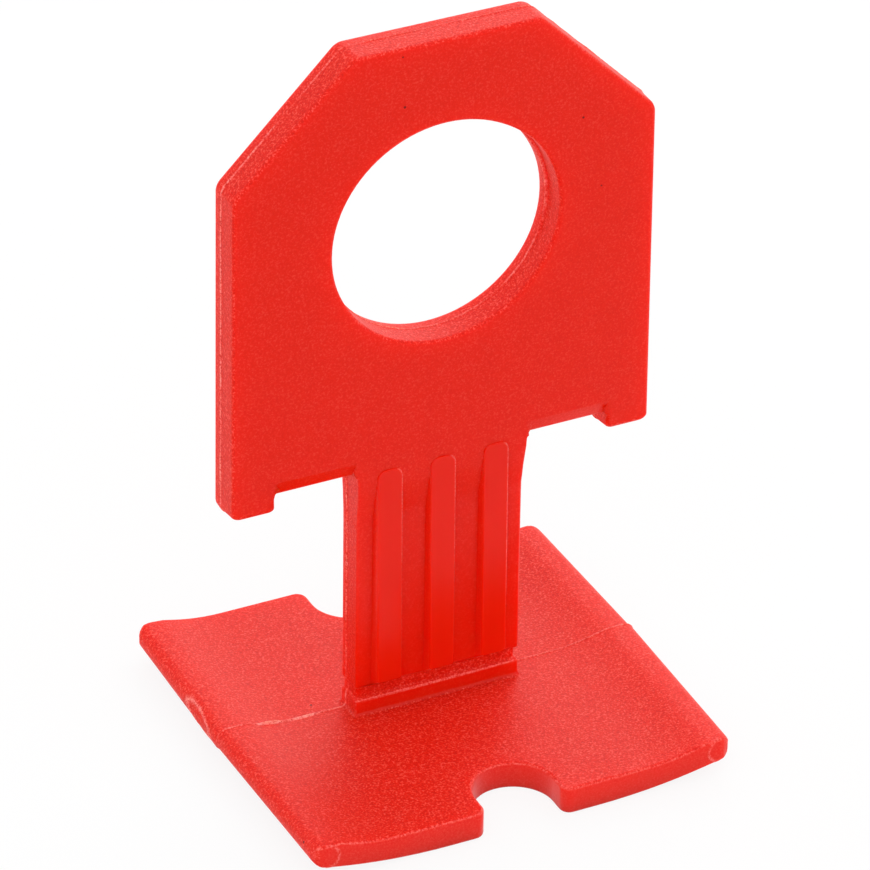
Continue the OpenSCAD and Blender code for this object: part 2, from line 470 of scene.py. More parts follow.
    def draw_down(
        self, bm: BMesh, first: float, last: float, levels: list[float], side: Callable[[float], float],
    ) -> None:
        """Draws part of the head's lower boundary down, level by level.

        Args:
            bm: Front of the plate.
            first: Inner end of the part, across the plate.
            last: Outer end of the part.
            levels: Levels from the top down.
            side: Place of the outer end at a level.
        """
        row = [
            e for e in bm.edges
            if all(
                abs(v.co.z - self.bevel_z) < NEAR and first - NEAR < v.co.x < last + NEAR
                for v in e.verts
            )
        ]
        for z in levels:
            made = bmesh.ops.extrude_edge_only(bm, edges=row)["geom"]
            verts = [part for part in made if isinstance(part, BMVert)]
            row = [part for part in made if isinstance(part, BMEdge) and set(part.verts) <= set(verts)]
            for v in verts:
                v.co.z = z
            max(verts, key=lambda v: v.co.x).co.x = side(z)

    def neck_back(self, bm: BMesh) -> list[BMFace]:
        """Finds the faces in the plate's back plane, straight above the neck.

        Args:
            bm: Plate.

        Returns:
            Those faces.
        """
        return [
            f for f in bm.faces
            if all(
                abs(v.co.y - self.back_y) < NEAR and abs(v.co.x) < self.armpit_x + NEAR
                for v in f.verts
            )
            and f.calc_center_median().z > self.recess_z
        ]

    def front_at(self, z: float) -> float:
        """Finds the neck's front: it falls back from the head, and runs into the groove and the base.

        Args:
            z: Level on the neck.

        Returns:
            Depth of the front at that level.
        """
        fall = ramp(z, self.relief_z, self.relief_z - self.relief_run)
        groove = min(ramp(z, self.lip_z, self.groove_top_z), ramp(z, self.stub_z, self.groove_z))
        return self.front_y + self.front_relief * fall + self.groove_depth * groove - self.fillet_at(z)

    def fillet_at(self, z: float) -> float:
        """How far the fillet at the stub's foot stands out at a level."""
        rise = min(self.stub_fillet_r, max(0.0, z - self.base_t))
        return self.stub_fillet_r - math.sqrt(self.stub_fillet_r ** 2 - (self.stub_fillet_r - rise) ** 2)

    def recess_bevel_at(self, x: float, z: float) -> float:
        """Finds how far the bevel along the recess's front edge lies behind the head's front.

        Args:
            x: Place across the head.
            z: Level.

        Returns:
            Depth of the bevel there.
        """
        along = ramp(abs(x), self.armpit_x, self.armpit_x + self.bevel_run_neck)
        along *= ramp(abs(x), self.recess_x, self.recess_x - self.bevel_run_tab)
        return self.recess_bevel_d * along * ramp(z, self.bevel_z, self.recess_z)

    def set_faces_back(self, bm: BMesh) -> None:
        """Sets the neck back from both faces of the head, bevels the recess and slopes the feet.

        Args:
            bm: Plate of even thickness.
        """
        for v in bm.verts:
            x, y, z = v.co
            is_front = abs(y - self.front_y) < NEAR
            is_back = abs(y - self.back_y) < NEAR
            if is_front and self.recess_z - NEAR < z < self.bevel_z - NEAR:
                v.co.y += self.recess_bevel_at(x, z)
            elif is_front and z < self.relief_z + NEAR and abs(x) < self.recess_x - NEAR:
                v.co.y = self.front_at(z)
            elif is_back and z < self.recess_z + NEAR and abs(x) < self.recess_x - NEAR:
                if z < self.recess_z - NEAR or abs(x) < self.armpit_x - NEAR:
                    v.co.y = self.neck_back_y + self.fillet_at(z)
            if abs(x) > self.recess_x - NEAR and z < self.feet_z + self.foot_rise_reach:
                rise = self.foot_rise_front * ramp(y, self.parting_y, self.front_y)
                rise += self.foot_rise_back * ramp(y, self.parting_y, self.back_y)
                v.co.z += rise * ramp(z, self.feet_z + self.foot_rise_reach, self.feet_z)

    def rib_middles(self) -> list[float]:
        """Places of the ribs across the neck."""
        return [(i - (self.rib_count - 1) / 2) * self.rib_pitch for i in range(self.rib_count)]

    def rib_front_at(self, z: float) -> float:
        """Front of a rib at a level: it leans out towards the break groove."""
        share = ramp(z, self.rib_top_z, self.stub_z)
        return self.front_y - self.rib_proud_top - (self.rib_proud_foot - self.rib_proud_top) * share

    def neck_faces(self, bm: BMesh) -> list[BMFace]:
        """Finds the faces on the neck's front, from the groove's lip to the top of the recess's bevel.

        Args:
            bm: Plate with its neck set back.

        Returns:
            Those faces.
        """
        back_limit = self.neck_front_y + NEAR
        return [
            f for f in bm.faces
            if all(v.co.y < back_limit and v.co.z > self.lip_z - NEAR for v in f.verts)
            and f.calc_center_median().z < self.bevel_z
        ]

    def raise_ribs(self, bm: BMesh) -> None:
        """Draws the ribs out of the neck's front.

        Args:
            bm: Plate with its neck set back.
        """
        chosen = []
        for f in self.neck_faces(bm):
            centre = f.calc_center_median()
            near_rib = any(abs(centre.x - middle) < self.rib_w / 2 for middle in self.rib_middles())
            if near_rib and centre.z < self.rib_top_z:
                chosen.append(f)
        roots = {v for f in chosen for v in f.verts}
        drawn_out = extrude(bm, chosen, Vector((0, 0, 0)))
        bmesh.ops.delete(bm, geom=chosen, context="FACES")
        for v in roots:
            if v.is_valid:
                v.co.x += self.rib_widening(v.co)
        for v in drawn_out:
            is_foot = abs(v.co.z - self.lip_z) < NEAR
            v.co.y = self.rib_front_at(v.co.z)
            if is_foot:
                v.co.z += (self.neck_front_y - v.co.y) * self.lip_slope

    def rib_widening(self, root: Vector) -> float:
        """Finds how far a rib's root stands outside its front edge, so that the rib leaves the mould.

        Args:
            root: Place at the rib's root, still straight behind the front edge.

        Returns:
            Move to the right, or a negative one to the left.
        """
        middle = min(self.rib_middles(), key=lambda x: abs(x - root.x))
        if abs(root.x - middle) < NEAR:
            return 0.0
        return math.copysign(self.rib_draft * (root.y - self.rib_front_at(root.z)), root.x - middle)

    def round_rib_tops(self, bm: BMesh) -> None:
        """Rounds the two corners at the top of each rib.

        Args:
            bm: Plate with its ribs.
        """
        reach = self.rib_draft * self.rib_proud_top + NEAR
        for x in self.rib_sides():
            corner = [
                e for e in bm.edges
                if all(abs(v.co.x - x) < reach and abs(v.co.z - self.rib_top_z) < NEAR for v in e.verts)
            ]
            round_edges(bm, corner, self.rib_corner_r, self.corner_steps)

    def edge_radius(self, edge: BMEdge) -> float:
        """Finds the radius that the mould gives an edge.

        Args:
            edge: Edge of the plate.

        Returns:
            Its radius, or 0 for an edge that stays as it is.
        """
        if len(edge.link_faces) != 2 or edge.calc_face_angle_signed() < self.rounded_from:
            return 0.0
        middle = (edge.verts[0].co + edge.verts[1].co) / 2
        if middle.z < self.base_t + self.stub_fillet_r + NEAR:
            return 0.0
        if middle.y < self.front_y - NEAR:
            return self.rib_edge_r
        if abs(middle.z - self.lip_z) < NEAR:
            return self.lip_edge_r
        if middle.z < self.lip_z:
            return self.groove_edge_r
        from_armpit = math.hypot(abs(middle.x) - self.armpit_x, middle.z - self.recess_z)
        if from_armpit < 2 * self.neck_fillet_r:
            return self.armpit_edge_r
        if abs(middle.x) < self.armpit_x and middle.z < self.recess_z - self.neck_fillet_r:
            below = ramp(middle.z, self.recess_z, self.recess_z - self.flare_h)
            return self.armpit_edge_r + (self.neck_edge_r - self.armpit_edge_r) * below
        return self.head_edge_r

    def rounded(self, bm: BMesh) -> BMesh:
        """Rounds every outer edge by the radius of its place.

        Args:
            bm: Sharp-edged plate, freed here.

        Returns:
            The plate with rounded edges.
        """
        widest = max(self.head_edge_r, self.neck_edge_r)
        weight = bm.edges.layers.float.new("bevel_weight_edge")
        for edge in bm.edges:
            edge[weight] = self.edge_radius(edge) / widest
        obj = working_object("head_and_neck", bm)
        bevel = obj.modifiers.new("edge_round", "BEVEL")
        bevel.width = widest
        bevel.limit_method = "WEIGHT"
        bevel.segments = self.edge_steps
        bevel.profile = 0.5
        bevel.use_clamp_overlap = False
        bevel.material = -1
        made = taken_back(obj)
        bmesh.ops.remove_doubles(made, verts=made.verts[:], dist=NEAR)
        # The bevel leaves faces of no area at the ends of the recess, which would open as hairline cracks
        bmesh.ops.dissolve_degenerate(made, dist=NEAR / 20, edges=made.edges[:])
        return made


@dataclass
class Base:
    """Square base: a flat plate, notched in front and at the back, with two ends curled up. Millimetres."""

    half_w: float
    half_d: float
    parting_y: float = PARTING_Y
    thickness: float = 2.05
    draft: float = math.radians(1.05)
    corner_r: float = 0.9
    under_flat: float = 5.4
    under_curl_r: float = 44.0
    top_flat: float = 9.1
    top_curl_r: float = 15.0
    top_blend: float = 0.12
    bead_r: float = 0.85
    notch_r: float = 2.85
    notch_depth: float = 4.5
    mouth_r: float = 0.75
    edge_r: float = 0.22
    # Edges that turn by more than this are rims
    rim_angle: float = math.radians(60)
    notch_steps: int = 14
    corner_steps: int = 6
    edge_steps: int = 3
    under_steps: int = 3
    curl_steps: int = 7
    brow_steps: int = 3
    # Degrees round the bead at which its arc is followed
    bead_angles: tuple[float, ...] = (15, 30, 45, 58, 70, 80)

    def __post_init__(self) -> None:
        """Works out the middle of the bead, which runs into the underside's arc."""
        self.bead_x = self.half_w - self.bead_r
        reach = self.under_curl_r - self.bead_r
        self.bead_z = self.under_curl_r - math.sqrt(reach ** 2 - (self.bead_x - self.under_flat) ** 2)
        share = self.under_curl_r / reach
        self.bead_foot_x = self.under_flat + (self.bead_x - self.under_flat) * share

    def build(self) -> BMesh:
        """Models the base flat, then curls its ends.

        Returns:
            A closed mesh in millimetres.
        """
        bm = bmesh.new()
        self.draw_half(bm)
        mirror_half(bm)
        rims = [e for e in bm.edges if e.calc_face_angle() > self.rim_angle and self.is_level(e)]
        round_edges(bm, rims, self.edge_r, self.edge_steps)
        for x in self.columns():
            cut(bm, Axis.X, -x)
            cut(bm, Axis.X, x)
        cut(bm, Axis.Y, self.parting_y)
        self.curl(bm)
        return bm

    def draw_half(self, bm: BMesh) -> None:
        """Draws the right half of the plan round half of each notch, and extrudes it upwards.

        Args:
            bm: Empty mesh that takes the half.
        """
        notch_y = self.half_d - self.notch_depth + self.notch_r
        arcs = []
        for side in (-1, 1):
            known = set(bm.verts)
            end = bm.verts.new((0, side * (notch_y - self.notch_r), 0))
            bmesh.ops.spin(
                bm, geom=[end], cent=(0, side * notch_y, 0), axis=(0, 0, side),
                angle=math.pi / 2, steps=self.notch_steps, use_duplicate=False,
            )
            arcs.append(sorted((v for v in bm.verts if v not in known), key=lambda v: v.co.x))
        corners = [
            (self.notch_r, -self.half_d), (self.half_w, -self.half_d),
            (self.half_w, self.half_d), (self.notch_r, self.half_d),
        ]
        outline = [bm.verts.new((x, y, 0)) for x, y in corners]
        plan = bm.faces.new(arcs[0] + outline + arcs[1][::-1])
        extrude(bm, [plan], Vector((0, 0, self.thickness)))
        for x, reach in ((self.notch_r, self.mouth_r), (self.half_w, self.corner_r)):
            upright = [
                e for e in bm.edges
                if all(abs(v.co.x - x) < NEAR and abs(abs(v.co.y) - self.half_d) < NEAR for v in e.verts)
                and not self.is_level(e)
            ]
            round_edges(bm, upright, reach, self.corner_steps)

    def is_level(self, edge: BMEdge) -> bool:
        """Whether an edge of the flat plate runs level."""
        return abs(edge.verts[0].co.z - edge.verts[1].co.z) < NEAR

    def columns(self) -> list[float]:
        """Lists where the curl of the ends is followed.

        Returns:
            Places along the width, from the middle out.
        """
        crest = self.top_flat + math.sqrt(
            self.top_curl_r ** 2 - (self.top_curl_r - self.bead_z - self.bead_r + self.thickness) ** 2
        )
        under = even_steps(self.under_flat, self.top_flat, self.under_steps)[:-1]
        curl = even_steps(self.top_flat, crest, self.curl_steps)
        brow = even_steps(crest, self.bead_x, self.brow_steps)[1:]
        bead = [self.bead_x + self.bead_r * math.sin(math.radians(a)) for a in self.bead_angles]
        return under + curl + brow + bead

    def bead_reach(self, x: float) -> float:
        """Half the height of the bead at a place along the width."""
        return math.sqrt(max(0.0, self.bead_r ** 2 - (x - self.bead_x) ** 2))

    def under_at(self, x: float) -> float:
        """Finds the height of the underside.

        Args:
            x: Distance from the middle.

        Returns:
            Height there.
        """
        if x > self.bead_foot_x:
            return self.bead_z - self.bead_reach(x)
        out = max(0.0, x - self.under_flat)
        return self.under_curl_r - math.sqrt(self.under_curl_r ** 2 - out ** 2)

    def top_at(self, x: float) -> float:
        """Finds the height of the top, with a soft brow where the curl meets the bead.

        Args:
            x: Distance from the middle.

        Returns:
            Height there.
        """
        crest = self.bead_z + (self.bead_r if x < self.bead_x else self.bead_reach(x))
        out = min(max(0.0, x - self.top_flat), self.top_curl_r)
        curl = self.thickness + self.top_curl_r - math.sqrt(self.top_curl_r ** 2 - out ** 2)
        blend = max(self.top_blend - abs(crest - curl), 0.0) / self.top_blend
        return min(crest, curl) - blend ** 2 * self.top_blend / 4

    def curl(self, bm: BMesh) -> None:
        """Curls the ends up, closes them along the bead and leans them in from the parting plane.

        Args:
            bm: Flat base.
        """
        for v in bm.verts:
            x = min(abs(v.co.x), self.half_w)
            share = v.co.z / self.thickness
            low = self.under_at(x)
            v.co.z = low + share * (self.top_at(x) - low)
            v.co.x *= 1 - math.tan(self.draft) * abs(v.co.y - self.parting_y) / self.half_w
        bmesh.ops.remove_doubles(bm, verts=bm.verts[:], dist=NEAR * 5)
        bmesh.ops.dissolve_degenerate(bm, dist=NEAR, edges=bm.edges[:])
        bmesh.ops.recalc_face_normals(bm, faces=bm.faces[:])


@dataclass(frozen=True)
class FlashScrap:
    """Scrap of thin plastic that stands on the parting line of the base. Millimetres."""

    x: float
    run: float
    height: float

    def height_at(self, place: Vector) -> float:
        """Height of the scrap at a place."""
        return self.height * math.exp(-((place.x - self.x) / self.run) ** 4)


@dataclass
class PartingLine:
    """Thin ridge and slight step that the two halves of the mould leave round the clip, with a painted
    highlight along the ridge. Millimetres.
    """

    base_top: float
    head_side: float
    eye_z: float
    eye_r: float
    plane_y: float = PARTING_Y
    half_w: float = 0.09
    height: float = 0.055
    wander: float = 0.9
    wander_len: float = 0.8
    fade_len: float = 2.5
    # Values of the noise between which the ridge goes from faint to clear
    fade_from: float = -0.3
    fade_to: float = 0.4
    faint_share: float = 0.2
    fade_share: float = 0.5
    # Painted highlight on the ridge's crest and on the flanks of the flash scraps
    highlight_strength: float = 0.7
    flank_highlight: float = 0.8
    # Share of a normal that points down from which a face belongs to the underside
    under_facing: float = 0.3
    mismatch: float = 0.08
    pitch: float = 0.4
    scraps: tuple[FlashScrap, ...] = (FlashScrap(-11.6, 0.75, 0.12), FlashScrap(-9.2, 1.1, 0.04))
    eye_step: float = 0.18
    eye_step_middle: float = math.radians(14)
    eye_step_run: float = math.radians(36)
    rim_reach: float = 0.4

    def raise_on(self, bm: BMesh, painted_light: BMLayerItem, ground_z: float) -> None:
        """Raises the ridge on a finished skin, and sets the two halves of the clip off against each other.

        Args:
            bm: Skin of the clip.
            painted_light: Layer of the vertices that holds how strongly highlights and light are painted into
                the colour.
            ground_z: Level below which the underside stays flat.
        """
        for share in (-2, -1, 0, 1, 2):
            cut(bm, Axis.Y, self.plane_y + share * self.half_w)
        self.divide(bm)
        bm.normal_update()
        strip = [
            v for v in bm.verts
            if self.in_strip(v) and not (v.normal.z < -self.under_facing and v.co.z < ground_z)
        ]
        moves = []
        for v in strip:
            scrap = self.scrap_at(v.co)
            side = v.co.y - self.plane_y
            if abs(side) < NEAR:
                uneven = 1 + self.wander * noise.noise(v.co / self.wander_len)
                moves.append(v.normal * (self.height * uneven + scrap))
                # Painted highlight along the ridge's crest
                v[painted_light] = min(1.0, self.highlight_at(v.co) * uneven + scrap / self.height)
            else:
                moves.append(Vector((0, math.copysign(scrap / 2, side), 0)))
                # Painted highlight on the flanks of a flash scrap
                v[painted_light] = min(self.flank_highlight, scrap / self.height)
        for v, move in zip(strip, moves):
            v.co += move
        for v in bm.verts:
            if v.co.y > self.plane_y + self.half_w / 2:
                v.co.x -= self.mismatch
            elif v.co.y < self.plane_y - self.half_w / 2:
                v.co += self.eye_step_at(v.co)

    def in_strip(self, v: BMVert) -> bool:
        """Whether a vertex lies in the strip along the parting plane."""
        return abs(v.co.y - self.plane_y) < self.half_w + NEAR

    def divide(self, bm: BMesh) -> None:
        """Divides the strip along the parting plane into short steps, so that the ridge can run unevenly.

        Args:
            bm: Skin of the clip.
        """
        for axis in (Axis.X, Axis.Z):
            places = [v.co[axis.value] for v in bm.verts]
            low, high = min(places), max(places)
            for i in range(1, int((high - low) / self.pitch)):
                strip = [f for f in bm.faces if all(self.in_strip(v) for v in f.verts)]
                cut(bm, axis, low + i * self.pitch, strip)

    def highlight_at(self, place: Vector) -> float:
        """Finds how strong the painted highlight on the ridge is: it shows all along the head's sides, and
        comes and goes elsewhere.

        Args:
            place: Place on the ridge.

        Returns:
            Strength from 0 to 1.
        """
        if abs(place.x) > self.head_side and place.z > self.base_top:
            return self.highlight_strength
        clear = ramp(noise.noise(place / self.fade_len), self.fade_from, self.fade_to)
        return self.highlight_strength * (self.faint_share + self.fade_share * clear)

    def eye_step_at(self, place: Vector) -> Vector:
        """Finds how far the eye's front half stands outside its back half, on the eye's right side.

        Args:
            place: Place on the clip's front half.

        Returns:
            Move of that place, which is none away from the eye.
        """
        out = Vector((place.x, 0, place.z - self.eye_z))
        if out.length > self.eye_r + self.rim_reach:
            return Vector((0, 0, 0))
        turn = math.atan2(out.z, out.x) - self.eye_step_middle
        return out.normalized() * self.eye_step * math.exp(-(turn / self.eye_step_run) ** 4)

    def scrap_at(self, place: Vector) -> float:
        """Finds the height of the flash, which stands on the base alone.

        Args:
            place: Place on the parting line.

        Returns:
            Height there.
        """
        if place.z > self.base_top:
            return 0.0
        return sum(scrap.height_at(place) for scrap in self.scraps)


@dataclass
class MouldMark:
    """Round or oval mark that the gate or a pin of the mould left on a wall of the base. Millimetres."""

    outward: Vector
    wall: float
    middle: Vector
    half_len: float
    half_h: float
    tilt: float = 0.0
    rim: float = 0.045
    rim_w: float = 0.16
    sink: float = 0.0
    # Strength of the painted highlight round the mark's rim
    highlight_strength: float = 0.5
    pitch: float = 0.09

    def __post_init__(self) -> None:
        """Works out which axis runs along the wall and how far the mark reaches along it."""
        self.along = Axis.Y if abs(self.outward.x) > abs(self.outward.y) else Axis.X
        self.reach = self.half_len * (1 + 2 * self.rim_w)

    def press_on(self, bm: BMesh, painted_light: BMLayerItem) -> None:
        """Presses the mark into the wall.

        Args:
            bm: Skin of the clip.
            painted_light: Layer of the vertices that holds how strongly highlights and light are painted into
                the colour.
        """
        reach_up = self.half_h * (1 + 2 * self.rim_w) + self.half_len * self.tilt
        for axis, half in ((self.along, self.reach), (Axis.Z, reach_up)):
            for i in range(int(2 * half / self.pitch) + 1):
                cut(bm, axis, self.middle[axis.value] - half + i * self.pitch, self.faces_near(bm))
        bm.normal_update()
        marked = {v: self.rise_at(v.co) for f in self.faces_near(bm) for v in f.verts}
        for v, (rise, highlight_strength) in marked.items():
            v.co += v.normal * rise
            # Painted highlight round the mark's rim
            v[painted_light] = max(v[painted_light], highlight_strength)

    def faces_near(self, bm: BMesh) -> list[BMFace]:
        """Finds the faces of the wall within the mark's reach along it.

        Args:
            bm: Skin of the clip.

        Returns:
            Those faces.
        """
        axis = self.along.value
        low = self.middle[axis] - self.reach
        high = self.middle[axis] + self.reach
        return [
            f for f in bm.faces
            if all(v.co.dot(self.outward) > self.wall for v in f.verts)
            and min(v.co[axis] for v in f.verts) < high and max(v.co[axis] for v in f.verts) > low
        ]

    def rise_at(self, place: Vector) -> tuple[float, float]:
        """Finds the relief of the mark and the painted highlight on its rim.

        Args:
            place: Place on the wall.

        Returns:
            How far the mark stands out there, and the strength of the painted highlight there.
        """
        axis = self.along.value
        along = place[axis] - self.middle[axis]
        up = place.z - self.middle.z - self.tilt * along
        out = math.hypot(along / self.half_len, up / self.half_h)
        ring = math.exp(-((out - 1) / self.rim_w) ** 2)
        return self.rim * ring - self.sink * ramp(out, 1, 1 - 2 * self.rim_w), self.highlight_strength * ring


@dataclass(frozen=True)
class RedPolypropylene:
    """Polypropylene dyed through in signal red, moulded in a steel mould with a spark-eroded face.

    The eroded face leaves a fine wormy grain, which scatters a whitish sheen at grazing angles. In the
    colour, each pit of the grain is darkened as painted shade and each crest lightened as a painted glint, in
    place of that sheen. Where the mould was polished, on the ribs and the neck's front, the plastic is smooth
    and, without painted glints, deeper in colour. Light goes a little way into it, so its hollows glow a full
    red.
    """

    body_hex: str = "#e71f06"
    deep_hex: str = "#e31b04"
    # Painted shade in each pit of the grain, and painted glints on each crest
    pit_shade_hex: str = "#c80e03"
    crest_glint_hex: str = "#ff7d70"
    # Whitish tint of the painted highlights and painted light
    painted_light_hex: str = "#ff9c92"
    speck_hex: str = "#6e0705"
    # The real grain is too fine to show in the render, so it is drawn as coarse as it needs to show
    grain_mm: float = 0.14
    grain_detail: float = 1.5
    grain_roughness: float = 0.6
    grain_distortion: float = 0.5
    bump_share: float = 0.25
    mottle_mm: float = 2.6
    mottle_detail: float = 3.0
    mottle_roughness: float = 0.5
    speck_mm: float = 3.5
    speck_r_mm: float = 0.09
    # How far light goes into the plastic, and how many times that far red, green and blue go
    glow_mm: float = 1.0
    glow_radii: tuple[float, float, float] = (2.0, 0.15, 0.08)
    ior: float = 1.49
    specular: float = 0.21
    grained_roughness: float = 0.5
    polished_roughness: float = 0.24
    # Heights of the grain between which a tint goes from none to its full share: painted shade in each pit,
    # painted glints on each crest, and the tint of the painted highlights and light
    pit_shade_range: tuple[float, float] = (0.49, 0.34)
    pit_shade_share: float = 0.6
    crest_glint_range: tuple[float, float] = (0.53, 0.68)
    crest_glint_share: float = 0.42
    painted_light_range: tuple[float, float] = (0.3, 0.7)
    painted_light_strength: float = 2.0

    def material(self) -> Material:
        """Builds the procedural material.

        Returns:
            The finished material.
        """
        made = bpy.data.materials.new("red_polypropylene_spark_eroded")
        tree = bare_tree(made)
        place = add_node(tree, "ShaderNodeTexCoord").outputs["Object"]
        grained = add_node(tree, "ShaderNodeAttribute", attribute_name="grain").outputs["Fac"]
        grain = add_node(tree, "ShaderNodeTexNoise", {
            "Vector": place, "Scale": 1 / (self.grain_mm * MM), "Detail": self.grain_detail,
            "Roughness": self.grain_roughness, "Distortion": self.grain_distortion,
        }).outputs["Fac"]
        rough = add_node(tree, "ShaderNodeMapRange", {
            "Value": grained, "To Min": self.polished_roughness, "To Max": self.grained_roughness,
        }).outputs["Result"]
        bump = add_node(tree, "ShaderNodeBump", {
            "Strength": grained, "Distance": self.bump_share * self.grain_mm * MM, "Height": grain,
        }).outputs["Normal"]
        shader = add_node(tree, "ShaderNodeBsdfPrincipled", {
            "Base Color": self.colour(tree, place, grained, grain), "Roughness": rough, "Normal": bump,
            "IOR": self.ior, "Specular IOR Level": self.specular, "Subsurface Weight": 1.0,
            "Subsurface Radius": self.glow_radii, "Subsurface Scale": self.glow_mm * MM,
        })
        add_node(tree, "ShaderNodeOutputMaterial", {"Surface": shader.outputs["BSDF"]})
        return made

    def colour(
        self, tree: NodeTree, place: NodeSocket, grained: NodeSocket, grain: NodeSocket,
    ) -> NodeSocket:
        """Adds the nodes that colour the plastic, with painted shade and glints on its grain and the painted
        light of the skin's layer.

        Args:
            tree: Node tree of the material.
            place: Place on the piece, in metres.
            grained: Strength of the grain on a face.
            grain: Height of the grain.

        Returns:
            The colour's socket.
        """
        mottle = add_node(tree, "ShaderNodeTexNoise", {
            "Vector": place, "Scale": 1 / (self.mottle_mm * MM), "Detail": self.mottle_detail,
            "Roughness": self.mottle_roughness,
        }).outputs["Fac"]
        apart = add_node(tree, "ShaderNodeTexVoronoi", {
            "Vector": place, "Scale": 1 / (self.speck_mm * MM),
        }).outputs["Distance"]
        speck = add_node(tree, "ShaderNodeMath", {
            0: apart, 1: self.speck_r_mm / self.speck_mm,
        }, operation="LESS_THAN").outputs[0]
        # Strength of the painted highlights and painted light, read from the skin's layer
        painted_light = add_node(tree, "ShaderNodeAttribute", attribute_name="painted_light").outputs["Fac"]
        levels = []
        for where, (start, end), share in (
            (grained, self.pit_shade_range, self.pit_shade_share),
            (grained, self.crest_glint_range, self.crest_glint_share),
            (painted_light, self.painted_light_range, self.painted_light_strength),
        ):
            level = add_node(tree, "ShaderNodeMapRange", {
                "Value": grain, "From Min": start, "From Max": end, "To Max": share,
            }).outputs["Result"]
            levels.append(add_node(tree, "ShaderNodeMath", {
                0: level, 1: where,
            }, operation="MULTIPLY", use_clamp=True).outputs[0])
        pit_shade, crest_glint, painted_light_level = levels
        colour = linear_rgb(self.deep_hex)
        for share, tint in (
            (mottle, self.body_hex),
            # Painted shade in each pit and painted glints on each crest of the grain
            (pit_shade, self.pit_shade_hex),
            (crest_glint, self.crest_glint_hex),
            (speck, self.speck_hex),
            # Painted highlights and painted light, in a whitish tint
            (painted_light_level, self.painted_light_hex),
        ):
            colour = add_node(tree, "ShaderNodeMix", {
                0: share, 6: colour, 7: linear_rgb(tint),
            }, data_type="RGBA").outputs[2]
        return colour


